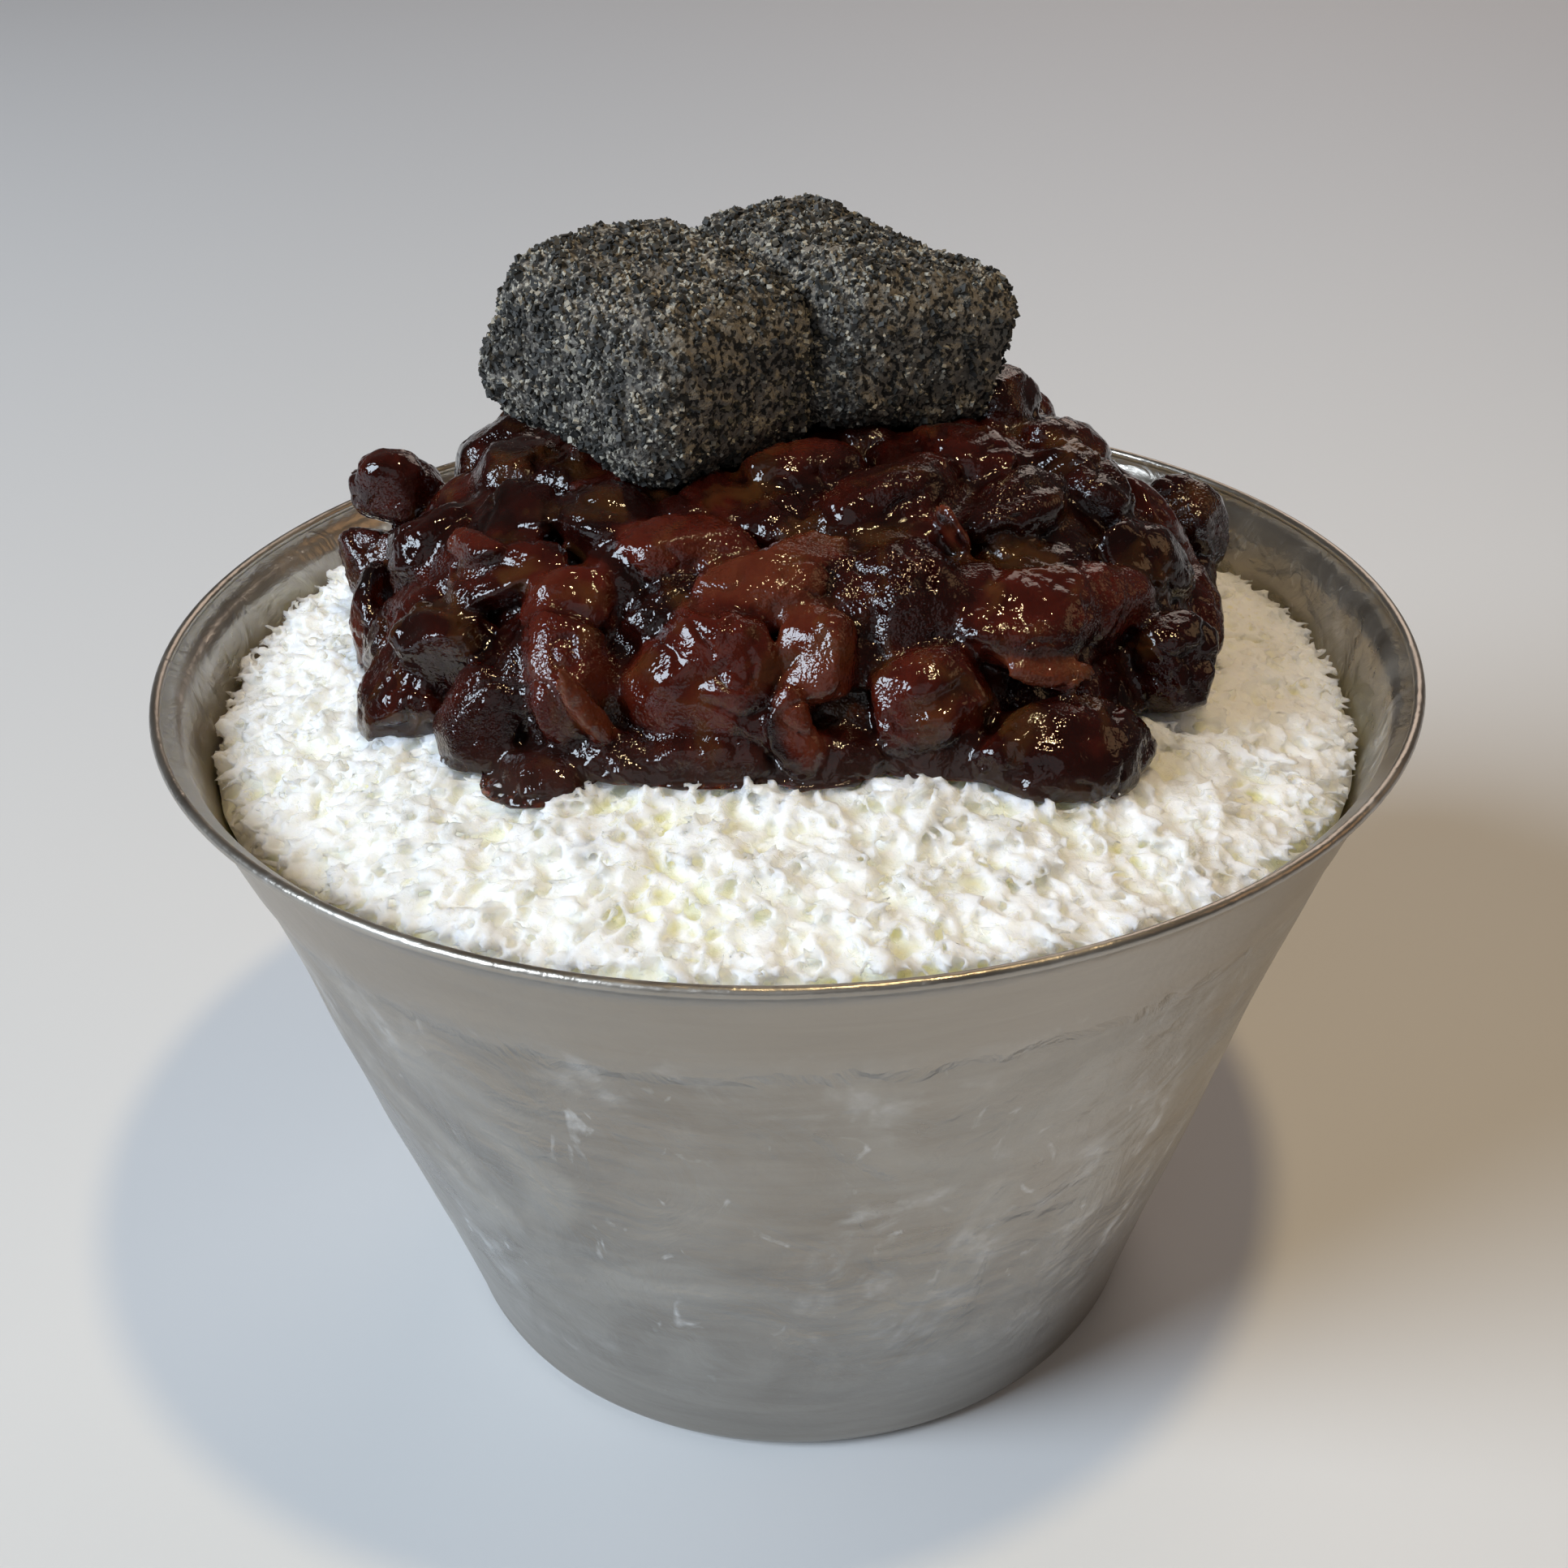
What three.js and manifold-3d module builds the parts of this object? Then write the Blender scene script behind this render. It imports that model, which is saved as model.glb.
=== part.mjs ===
// Bingsu: shaved milk ice in a tapered metal bowl, with a mound of sweet red beans
// and two rice cakes rolled in black sesame powder on top.
// Millimetres, +Z up. The bowl stands on z = 0 with its axis on Z, and -Y is the serving side.

import * as THREE from 'three';
import { mergeVertices } from 'three/addons/utils/BufferGeometryUtils.js';
import { SimplexNoise } from 'three/addons/math/SimplexNoise.js';
import Module from 'manifold-3d';

const wasm = await Module();
wasm.setup();

// Bowl
const bowlHeight = 74;
const baseRadius = 36.9;
const wallSlope = 0.2785; // outward run for each millimetre of height
const lipFlare = 1.8; // how much further the last stretch opens
const sheet = 0.9; // metal thickness
const beadRadius = 0.7; // turned edge at the rim
const heelRadius = 2.4; // round between base and wall
const rimTurnOut = 0.75; // how far the turned edge stands out from the wall
const bowlSides = 52;

// Gap kept between touching pieces
const gap = 0.3;

// Ice
const iceCrown = 2.8; // top of the dome above the rim
const iceDrop = 6.8; // depth of its edge below the rim, at the sides and the back
const iceFrontRise = 4.4; // how much higher the edge stands at the serving side
const iceBankRise = 2.2; // the heaped stretch of its edge, left and behind
const iceBankAt = 142; // degrees
const iceDomePower = 2.4;
const iceSides = 104;
const iceBump = 0.85; // height of the tufts

// Red beans
const moundCrown = 19; // core above the rim
const moundLean = 0.08; // rise towards the back, for each millimetre
const moundReach = 37.5;
const moundSideStretch = 3.4;
const moundFrontTuck = 4.6;
const moundTuckSpread = 40; // degrees
const moundSides = 36;
const beanSpacing = 7.8;
const beanTries = 2600;
const footBeanShare = 0.22; // how many of them lie along the mound's foot
const beanLength = [8.6, 12];
const beanWidth = [6.4, 7.8];
const beanThickness = [5.2, 6.6];

// Rice cakes: block size, middle above the rim, turns in degrees about Z, Y and X
const leftCake = {
  size: [21.5, 23.5, 16.5], at: [-11, 1.5, 27.6], turn: [40, 8, 10], skew: -0.12, taper: 0.1,
  round: 5, seed: 3,
};
const rightCake = {
  size: [20, 23.5, 15.2], at: [6.1, 10.6, 26.9], turn: [27, 12, -2], skew: -0.28, taper: 0.06,
  round: 3.6, seed: 8,
};

const degree = Math.PI / 180;

function seededRandom(seed) {
  let state = seed >>> 0;
  return () => {
    state = (state + 0x6d2b79f5) >>> 0;
    let mixed = Math.imul(state ^ (state >>> 15), state | 1);
    mixed ^= mixed + Math.imul(mixed ^ (mixed >>> 7), mixed | 61);
    return ((mixed ^ (mixed >>> 14)) >>> 0) / 4294967296;
  };
}

function between([low, high], share) {
  return low + (high - low) * share;
}

// ---- solids from geometries ----

function solidOf(geometry) {
  const bare = geometry.clone();
  bare.deleteAttribute('normal');
  bare.deleteAttribute('uv');
  const merged = mergeVertices(bare, 1e-5);
  const mesh = new wasm.Mesh({
    numProp: 3,
    vertProperties: new Float32Array(merged.attributes.position.array),
    triVerts: new Uint32Array(merged.index.array),
  });
  return new wasm.Manifold(mesh);
}

function geometryOf(solid) {
  const mesh = solid.getMesh();
  const geometry = new THREE.BufferGeometry();
  geometry.setAttribute('position', new THREE.Float32BufferAttribute(mesh.vertProperties, 3));
  geometry.setIndex(Array.from(mesh.triVerts));
  geometry.computeVertexNormals();
  return geometry;
}

// The solid without the loose scraps that a cut can leave
function wholePiece(solid) {
  return solid.decompose().reduce((best, piece) => (piece.volume() > best.volume() ? piece : best));
}

// A closed body from rings of equal count, the first below and the last on top,
// with a point in the middle of each end.
function ringedBody(rings, lowPoint, highPoint) {
  const count = rings[0].length;
  const points = [lowPoint, ...rings.flat(), highPoint];
  const last = points.length - 1;
  const faces = [];
  const place = (ring, step) => 1 + ring * count + (step % count);
  for (let step = 0; step < count; step += 1) {
    faces.push(0, place(0, step + 1), place(0, step));
    faces.push(last, place(rings.length - 1, step), place(rings.length - 1, step + 1));
    for (let ring = 0; ring + 1 < rings.length; ring += 1) {
      const [a, b] = [place(ring, step), place(ring, step + 1)];
      const [c, d] = [place(ring + 1, step + 1), place(ring + 1, step)];
      faces.push(a, b, c, a, c, d);
    }
  }
  const geometry = new THREE.BufferGeometry();
  geometry.setAttribute('position', new THREE.Float32BufferAttribute(points.flat(), 3));
  geometry.setIndex(faces);
  geometry.computeVertexNormals();
  return geometry;
}

// ---- bowl ----

function wallRadius(height) {
  return baseRadius + wallSlope * height + lipFlare * (height / bowlHeight) ** 6;
}

function innerRadius(height) {
  return wallRadius(height) - sheet;
}

function bowlGeometry() {
  const profile = [new THREE.Vector2(0, 0)];
  const heelSteps = 2;
  for (let step = 0; step <= heelSteps; step += 1) {
    const angle = (step / heelSteps) * Math.PI / 2;
    const out = wallRadius(heelRadius) - heelRadius * (1 - Math.sin(angle));
    profile.push(new THREE.Vector2(out, heelRadius * (1 - Math.cos(angle))));
  }
  const beadHeight = bowlHeight - beadRadius;
  const beadMiddle = wallRadius(beadHeight) - sheet / 2 + rimTurnOut;
  const wallLevels = [0.5, 0.75, 0.9, 0.965];
  for (const level of wallLevels) {
    profile.push(new THREE.Vector2(wallRadius(level * bowlHeight), level * bowlHeight));
  }
  const beadSteps = 6;
  for (let step = 0; step <= beadSteps; step += 1) {
    const angle = (-60 + (step / beadSteps) * 300) * degree;
    const out = beadMiddle + beadRadius * Math.cos(angle);
    profile.push(new THREE.Vector2(out, beadHeight + beadRadius * Math.sin(angle)));
  }
  for (const level of wallLevels.slice().reverse()) {
    profile.push(new THREE.Vector2(innerRadius(level * bowlHeight), level * bowlHeight));
  }
  const innerHeel = heelRadius - sheet;
  for (let step = heelSteps; step >= 0; step -= 1) {
    const angle = (step / heelSteps) * Math.PI / 2;
    const out = innerRadius(heelRadius) - innerHeel * (1 - Math.sin(angle));
    profile.push(new THREE.Vector2(out, sheet + innerHeel * (1 - Math.cos(angle))));
  }
  profile.push(new THREE.Vector2(0, sheet));
  const geometry = new THREE.LatheGeometry(profile, bowlSides);
  geometry.rotateX(Math.PI / 2);
  return geometryOf(solidOf(geometry));
}

// ---- shaved ice ----

const tuftNoise = new SimplexNoise({ random: seededRandom(21) });

function iceEdgeDrop(azimuth) {
  const front = Math.max(0, -Math.sin(azimuth)) ** 2.5;
  const bank = Math.max(0, Math.cos(azimuth - iceBankAt * degree)) ** 12;
  return iceDrop - iceFrontRise * front - iceBankRise * bank + 0.7 * Math.cos(azimuth);
}

// The smooth dome, before its tufts
function iceLevel(x, y) {
  const azimuth = Math.atan2(y, x);
  const drop = iceEdgeDrop(azimuth);
  const share = Math.min(1, Math.hypot(x, y) / innerRadius(bowlHeight - drop));
  return bowlHeight - drop + (iceCrown + drop) * (1 - share ** iceDomePower);
}

function tufts(x, y) {
  const clumps = tuftNoise.noise(x / 6.5, y / 6.5);
  const shreds = 1 - 2 * Math.abs(tuftNoise.noise(x / 2.6 + 40, y / 2.6));
  return iceBump * (0.6 * clumps + 0.5 * shreds);
}

function iceGeometry() {
  const rings = [];
  const floorLevel = sheet + gap;
  const bodyLevels = [floorLevel, 3.2, 40, 58];
  const lowestRadius = innerRadius(floorLevel) - heelRadius - gap;
  for (const level of bodyLevels) {
    const radius = level === floorLevel ? lowestRadius : innerRadius(level) - 2 * gap;
    rings.push(circleOf(iceSides, () => [radius, level]));
  }
  const shares = [1, 0.965, 0.925, 0.885, 0.845, 0.8, 0.755, 0.71, 0.66, 0.3];
  const random = seededRandom(5);
  for (const share of shares) {
    rings.push(circleOf(iceSides, (azimuth) => {
      const edgeLevel = bowlHeight - iceEdgeDrop(azimuth);
      const ragged = share === 1 ? 1.3 * random() : 0.5 * (random() - 0.5);
      const radius = (innerRadius(edgeLevel) - 2 * gap) * share - ragged;
      const x = radius * Math.cos(azimuth);
      const y = radius * Math.sin(azimuth);
      const bare = Math.min(1, Math.max(0, (radius - moundEdge(azimuth) + 1) / 2));
      const dip = share === 1 ? 1.2 : 0;
      return [radius, iceLevel(x, y) + bare * (tufts(x, y) - dip)];
    }));
  }
  return ringedBody(rings, [0, 0, floorLevel], [0, 0, iceLevel(0, 0)]);
}

// A ring of points, each from a function that gives its radius and height
function circleOf(count, shape) {
  return Array.from({ length: count }, (unused, step) => {
    const azimuth = (step / count) * 2 * Math.PI;
    const [radius, height] = shape(azimuth);
    return [radius * Math.cos(azimuth), radius * Math.sin(azimuth), height];
  });
}

// ---- red beans ----

function moundEdge(azimuth) {
  const fromFront = Math.atan2(Math.sin(azimuth + Math.PI / 2), Math.cos(azimuth + Math.PI / 2));
  const tuck = moundFrontTuck * Math.exp(-((fromFront / (moundTuckSpread * degree)) ** 2));
  return moundReach + moundSideStretch * Math.cos(azimuth) ** 2 - tuck;
}

// A point on the mound's core: share 0 is the crown and 1 the edge
function moundPoint(azimuth, share) {
  const radius = moundEdge(azimuth) * share;
  const x = radius * Math.cos(azimuth);
  const y = radius * Math.sin(azimuth);
  const low = iceLevel(x, y) + 1.5 * gap;
  const high = bowlHeight + moundCrown + moundLean * y;
  const rise = (1 - Math.min(1, share) ** 3.5) ** (2 / 3);
  return new THREE.Vector3(x, y, low + 0.8 + (high - low) * rise);
}

function moundCore() {
  const under = [0.5, 1].map((share) => circleOf(moundSides, (azimuth) => {
    const radius = moundEdge(azimuth) * share;
    const level = iceLevel(radius * Math.cos(azimuth), radius * Math.sin(azimuth));
    return [radius, level + 1.5 * gap];
  }));
  const over = [1, 0.96, 0.88, 0.74, 0.5].map((share) => circleOf(moundSides, (azimuth) => {
    return [moundEdge(azimuth) * share, moundPoint(azimuth, share).z];
  }));
  const top = moundPoint(0, 0);
  return ringedBody([...under, ...over], [0, 0, iceLevel(0, 0) + 1.5 * gap], top.toArray());
}

// The frame that a bean lies in: along, across and out of the mound
function moundFrame(azimuth, share, turn) {
  const step = 0.01;
  const here = moundPoint(azimuth, share);
  const around = moundPoint(azimuth + step, share).sub(here).normalize();
  const down = moundPoint(azimuth, share + step).sub(here).normalize();
  const out = new THREE.Vector3().crossVectors(down, around).normalize();
  const along = around.clone().applyAxisAngle(out, turn);
  const across = new THREE.Vector3().crossVectors(out, along);
  return { here, along, across, out };
}

// One bean: an egg shape bent a little, like a kidney
function beanGeometry([length, width, thickness], bend, sides) {
  const geometry = sides === 'many'
    ? new THREE.IcosahedronGeometry(1, 1)
    : new THREE.OctahedronGeometry(1, 1);
  const spots = geometry.attributes.position;
  for (let i = 0; i < spots.count; i += 1) {
    const x = spots.getX(i);
    const y = spots.getY(i) - bend * (1 - x * x);
    spots.setXYZ(i, x * length / 2, y * width / 2, spots.getZ(i) * thickness / 2);
  }
  return geometry;
}

// The large beans and lumps, set by hand: where the outermost point lies (x, y and
// height above the rim), the length, width and thickness, and the turn in degrees
const largeBeans = [
  [-26, 0, 19, 11, 9, 8, 20],
  [-42.5, 10.5, 13, 8, 7.5, 10, 0],
  [-45, 9.5, 5, 9, 7, 11, 90],
  [-35.5, -5, 13, 12, 10, 9, 45],
  [-19, -22, 15, 9, 7, 6.5, 50],
  [-9, -18.5, 18.5, 12.5, 7, 6.5, 12],
  [-1, -23, 17, 14.5, 7.5, 6.5, 28],
  [-33, -20, 9, 10, 9, 8, 30],
  [-37, -19, 3, 12.5, 10.5, 9, 60],
  [-22, -33.5, 1, 10.5, 8, 8, 10],
  [-7, -30.5, 11, 13, 11.5, 8, 50],
  [2.5, -30, 12, 8, 6.5, 6, 80],
  [11.5, -24.5, 15, 12.5, 10, 8, 100],
  [12.5, -32, 8, 10.5, 9.5, 8, 0],
  [9.5, -11.5, 20.5, 14, 7, 6.5, 5],
  [29.5, -19, 11.5, 12, 6.5, 7, -20],
  [38, -19, 5.5, 10.5, 9.5, 9, 0],
  [25, -33.5, 3, 15, 9.5, 9, -5],
  [22, 11.5, 22.5, 10, 8, 8, -30],
  [33, 12.5, 12, 9, 8, 7, 0],
  [44.5, 12, 6.5, 10.5, 9.5, 9, 90],
  [43.5, 7.5, 1, 8, 7, 9, 0],
  [-15, -33, 2.5, 10, 7.5, 7, -20],
  [-7, -34, 2.8, 12, 8.5, 7, 0],
  [3, -34, 2.8, 11, 8, 7, 15],
  [14, -33.2, 2.8, 11, 8, 7, -10],
];

function clearOfCakes(point, reach) {
  return [leftCake, rightCake].every((cake) => {
    const local = point.clone().sub(cakeMiddle(cake)).applyMatrix4(cakeTurn(cake).invert());
    const excess = [local.x, local.y, local.z].map((value, axis) => {
      return Math.max(0, Math.abs(value) - cake.size[axis] / 2);
    });
    return Math.hypot(...excess) > reach;
  });
}

function beanPlaces() {
  const random = seededRandom(11);
  const places = [];
  for (const [x, y, rise, length, width, thickness, turn] of largeBeans) {
    const azimuth = Math.atan2(y, x);
    const share = Math.min(0.97, Math.hypot(x, y) / moundEdge(azimuth));
    const frame = moundFrame(azimuth, share, turn * degree);
    const middle = new THREE.Vector3(x, y, bowlHeight + rise);
    middle.addScaledVector(frame.out, -thickness / 2);
    places.push({ ...frame, middle, size: [length, width, thickness], bend: 0.1, sides: 'many' });
  }
  for (let attempt = 0; attempt < beanTries; attempt += 1) {
    const azimuth = random() * 2 * Math.PI;
    const atFoot = random() < footBeanShare;
    const share = atFoot ? 0.985 : 0.1 + 0.86 * random() ** 0.45;
    const turn = random() * Math.PI;
    const sizes = [beanLength, beanWidth, beanThickness].map((range) => between(range, random()));
    const lift = 0.9 * (random() - 0.5);
    const bend = 0.25 * random();
    const frame = moundFrame(azimuth, share, turn);
    const middle = frame.here.clone().addScaledVector(frame.out, lift - sizes[2] * 0.2);
    const crowded = places.some((other) => {
      return other.middle.distanceTo(middle) < (beanSpacing * (other.size[0] + other.size[1])) / 18;
    });
    if (!crowded && clearOfCakes(middle, 1.5)) {
      places.push({ ...frame, middle, size: sizes, bend, sides: 'few' });
    }
  }
  return places;
}

function beanSolids() {
  return beanPlaces().map(({ along, across, out, middle, size, bend, sides }) => {
    const geometry = beanGeometry(size, bend, sides);
    const placed = new THREE.Matrix4().makeBasis(along, across, out).setPosition(middle);
    return solidOf(geometry.applyMatrix4(placed));
  });
}

// ---- rice cakes ----

function cakeTurn(cake) {
  const [aboutZ, aboutY, aboutX] = cake.turn.map((value) => value * degree);
  return new THREE.Matrix4().makeRotationX(aboutX)
    .multiply(new THREE.Matrix4().makeRotationY(aboutY))
    .multiply(new THREE.Matrix4().makeRotationZ(aboutZ));
}

function cakeMiddle(cake) {
  return new THREE.Vector3(cake.at[0], cake.at[1], bowlHeight + cake.at[2]);
}

// A soft block with round edges, uneven sides and a slightly domed top
function cakeGeometry(cake, extra) {
  const half = cake.size.map((value) => value / 2 + extra);
  const geometry = new THREE.BoxGeometry(...cake.size, 7, 7, 5);
  const noise = new SimplexNoise({ random: seededRandom(cake.seed) });
  const spots = geometry.attributes.position;
  const point = new THREE.Vector3();
  const core = new THREE.Vector3();
  const limit = new THREE.Vector3(...half).subScalar(cake.round);
  for (let i = 0; i < spots.count; i += 1) {
    point.fromBufferAttribute(spots, i);
    point.set(...point.toArray().map((value, axis) => value * half[axis] / (cake.size[axis] / 2)));
    core.copy(point).clamp(limit.clone().negate(), limit);
    const outward = point.clone().sub(core).normalize();
    const lump = noise.noise3d(core.x / 9, core.y / 9, core.z / 9);
    point.copy(core).addScaledVector(outward, cake.round + 0.8 * lump);
    const narrow = 1 - cake.taper * (point.z / half[2]);
    spots.setXYZ(i, (point.x + cake.skew * point.y) * narrow, point.y * narrow, point.z);
  }
  const placed = cakeTurn(cake).setPosition(cakeMiddle(cake));
  return geometry.applyMatrix4(placed);
}

// ---- assembly ----

const bingsu = new THREE.Group();

function addPart(name, geometry, finish) {
  const part = new THREE.Mesh(geometry, new THREE.MeshStandardMaterial(finish));
  part.name = name;
  bingsu.add(part);
}

const ice = iceGeometry();
const leftSolid = solidOf(cakeGeometry(leftCake, 0));
const leftRoom = solidOf(cakeGeometry(leftCake, gap));
const rightSolid = solidOf(cakeGeometry(rightCake, 0)).subtract(leftRoom);
const rightRoom = solidOf(cakeGeometry(rightCake, gap));

const iceRoom = solidOf(ice.clone().translate(0, 0, gap));
const beans = beanSolids()
  .reduce((whole, bean) => whole.add(bean), solidOf(moundCore()))
  .subtract(iceRoom)
  .subtract(leftRoom)
  .subtract(rightRoom);

addPart('bowl', bowlGeometry(), { color: 0x9a9792, roughness: 0.42, metalness: 1 });
addPart('shaved_ice', ice, { color: 0xf4f2e8, roughness: 0.8, metalness: 0 });
addPart('red_beans', geometryOf(wholePiece(beans)), { color: 0x3a1512, roughness: 0.2, metalness: 0 });
addPart('rice_cake_left', geometryOf(leftSolid), { color: 0x4b4741, roughness: 0.9, metalness: 0 });
addPart('rice_cake_right', geometryOf(rightSolid), { color: 0x4b4741, roughness: 0.9, metalness: 0 });

export default bingsu;
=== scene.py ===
import math

import bmesh
import bpy
import numpy as np
from mathutils import Matrix, Vector, noise


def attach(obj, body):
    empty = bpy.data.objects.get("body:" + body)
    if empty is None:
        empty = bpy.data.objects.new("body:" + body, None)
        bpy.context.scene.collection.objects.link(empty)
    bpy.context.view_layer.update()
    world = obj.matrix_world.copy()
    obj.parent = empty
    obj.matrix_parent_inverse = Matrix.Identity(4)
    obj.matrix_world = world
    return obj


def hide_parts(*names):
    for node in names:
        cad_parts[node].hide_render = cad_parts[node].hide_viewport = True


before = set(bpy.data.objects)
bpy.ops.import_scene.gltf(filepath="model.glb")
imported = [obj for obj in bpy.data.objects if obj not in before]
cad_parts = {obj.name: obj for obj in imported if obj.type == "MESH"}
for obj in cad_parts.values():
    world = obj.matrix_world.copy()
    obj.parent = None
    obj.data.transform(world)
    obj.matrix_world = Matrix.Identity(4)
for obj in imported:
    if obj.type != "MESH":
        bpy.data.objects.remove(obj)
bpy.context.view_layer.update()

degree = math.pi / 180
metresPerMillimetre = 0.001


# seeded draws from 0 to 1 in 32-bit steps, the same ones that place the solids
def seededRandom(seed):
    mask, stride = 0xFFFFFFFF, 0x6D2B79F5
    state = seed & mask

    def draw():
        nonlocal state
        state = (state + stride) & mask
        mixed = ((state ^ (state >> 15)) * (state | 1)) & mask
        mixed ^= (mixed + (((mixed ^ (mixed >> 7)) * (mixed | 61)) & mask)) & mask
        return (mixed ^ (mixed >> 14)) / (mask + 1)

    return draw


def between(span, share):
    return span[0] + (span[1] - span[0]) * share


# mesh work shared by the pieces

def meshFrom(bm, name):
    mesh = bpy.data.meshes.new(name)
    bm.to_mesh(mesh)
    bm.free()
    return mesh


def pointsOf(mesh, kind="co"):
    flat = np.empty(len(mesh.vertices) * 3, np.float32)
    mesh.vertices.foreach_get(kind, flat)
    return flat.reshape(-1, 3).astype(float)


def normalsOf(mesh):
    return pointsOf(mesh, "normal")


def movePoints(mesh, points):
    mesh.vertices.foreach_set("co", points.astype(np.float32).ravel())
    mesh.update()


def edgesOf(mesh):
    flat = np.empty(len(mesh.edges) * 2, np.int32)
    mesh.edges.foreach_get("vertices", flat)
    return flat.reshape(-1, 2)


def trianglesOf(mesh):
    mesh.calc_loop_triangles()
    flat = np.empty(len(mesh.loop_triangles) * 3, np.int32)
    mesh.loop_triangles.foreach_get("vertices", flat)
    return flat.reshape(-1, 3)


def noiseAt(points, size, shift=(0, 0, 0)):
    shift = Vector(shift)
    return np.array([noise.noise(Vector(spot) / size + shift) for spot in points])


# each point's mean of its neighbours
def neighbourMean(values, edges):
    total = np.zeros_like(values)
    count = np.bincount(edges.ravel(), minlength=len(values)).astype(float)
    for axis in range(values.shape[1]):
        total[:, axis] = np.bincount(edges[:, 0], values[edges[:, 1], axis], len(values))
        total[:, axis] += np.bincount(edges[:, 1], values[edges[:, 0], axis], len(values))
    return total / np.maximum(count, 1)[:, None]


def smoothPoints(mesh, strength):
    points = pointsOf(mesh)
    movePoints(mesh, points + strength * (neighbourMean(points, edgesOf(mesh)) - points))


# many copies of a few small templates, each with its own 3x3 turn and place, as one
# mesh; the templates are given out in turn
def joinCopies(templates, turns, places, name, shades=None):
    points, faces, tones, start = [], [], [], 0
    for kind, template in enumerate(templates):
        corners, shape = trianglesOf(template), pointsOf(template)
        chosen = np.arange(kind, len(places), len(templates))
        copies = np.einsum("nij,pj->npi", turns[chosen], shape) + places[chosen][:, None, :]
        points.append(copies.reshape(-1, 3))
        offsets = start + np.arange(len(chosen)) * len(shape)
        faces.append((corners[None] + offsets[:, None, None]).reshape(-1, 3))
        start += copies.shape[0] * copies.shape[1]
        if shades is not None:
            tones.append(np.repeat(shades[chosen], len(shape)))
    mesh = bpy.data.meshes.new(name)
    mesh.from_pydata(np.concatenate(points).tolist(), [], np.concatenate(faces).tolist())
    mesh.update()
    if shades is not None:
        setValues(mesh, "shade", np.concatenate(tones))
    return mesh


# turns in every direction, each stretched by its own three sizes
def looseTurns(draws, sizes):
    spin = draws.normal(size=(len(sizes), 4))
    w, x, y, z = (spin / np.linalg.norm(spin, axis=1)[:, None]).T
    rows = [[1 - 2 * (y * y + z * z), 2 * (x * y - z * w), 2 * (x * z + y * w)],
            [2 * (x * y + z * w), 1 - 2 * (x * x + z * z), 2 * (y * z - x * w)],
            [2 * (x * z - y * w), 2 * (y * z + x * w), 1 - 2 * (x * x + y * y)]]
    return np.moveaxis(np.array(rows), 2, 0) * sizes[:, None, :]


# points spread evenly over a mesh, with the normal at each
def spreadOver(mesh, count, draws):
    a, b, c = (pointsOf(mesh)[corners] for corners in trianglesOf(mesh).T)
    normals = np.cross(b - a, c - a)
    areas = np.linalg.norm(normals, axis=1)
    chosen = draws.choice(len(areas), count, p=areas / areas.sum())
    u, v = draws.random(count), draws.random(count)
    flip = u + v > 1
    u, v = np.where(flip, 1 - u, u)[:, None], np.where(flip, 1 - v, v)[:, None]
    spots = a[chosen] + u * (b - a)[chosen] + v * (c - a)[chosen]
    return spots, normals[chosen] / np.maximum(areas[chosen], 1e-9)[:, None]


def addObject(name, data):
    added = bpy.data.objects.new(name, data)
    bpy.context.scene.collection.objects.link(added)
    return added


# the holder's mesh with its modifiers applied; the holder itself goes
def appliedMesh(holder):
    ready = holder.evaluated_get(bpy.context.evaluated_depsgraph_get())
    mesh = bpy.data.meshes.new_from_object(ready)
    bpy.data.objects.remove(holder)
    return mesh


# one closed skin around all the meshes together
def wrapVoxels(meshes, size, name):
    bm = bmesh.new()
    for mesh in meshes:
        bm.from_mesh(mesh)
    holder = addObject(name, meshFrom(bm, name))
    wrap = holder.modifiers.new("wrap", "REMESH")
    wrap.mode = "VOXEL"
    wrap.voxel_size = size
    wrap.adaptivity = 0
    return appliedMesh(holder)


# the same shape with fewer triangles; what is hidden keeps only a few thousand
def thinOut(mesh, hidden, triangles):
    holder = addObject("thinned", mesh)
    count = len(trianglesOf(mesh))
    group = holder.vertex_groups.new(name="hidden")
    group.add(np.flatnonzero(hidden).tolist(), 1.0, "REPLACE")
    left = count * (1 - hidden.mean()) + 6000
    for name, share in (("hidden", left / count), ("", triangles / left)):
        if share < 1:
            thin = holder.modifiers.new("thin", "DECIMATE")
            thin.vertex_group = name
            thin.ratio = share
    return appliedMesh(holder)


# the outer skin alone, without the bubbles that a wrap leaves inside
def outerSkin(mesh):
    edges = edgesOf(mesh)
    label = np.arange(len(mesh.vertices))
    while True:
        lowest = label.copy()
        np.minimum.at(lowest, edges[:, 0], label[edges[:, 1]])
        np.minimum.at(lowest, edges[:, 1], label[edges[:, 0]])
        lowest = lowest[lowest]
        if np.array_equal(lowest, label):
            break
        label = lowest
    bm = bmesh.new()
    bm.from_mesh(mesh)
    inside = label != np.bincount(label).argmax()
    print(inside.sum(), "inner points dropped of", len(label))
    bmesh.ops.delete(bm, geom=[vert for vert in bm.verts if inside[vert.index]], context="VERTS")
    return meshFrom(bm, "skin")


# pushes the surface in and out by noise; each layer is (depth, size of a lump)
def roughen(mesh, layers, shift):
    points, normals = pointsOf(mesh), normalsOf(mesh)
    push = np.zeros(len(points))
    for depth, size in layers:
        push += depth * noiseAt(points, size, (shift, size, 0))
    movePoints(mesh, points + normals * push[:, None])


def setValues(mesh, label, values):
    attribute = mesh.attributes.new(label, "FLOAT", "POINT")
    attribute.data.foreach_set("value", np.asarray(values, np.float32))


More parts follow.
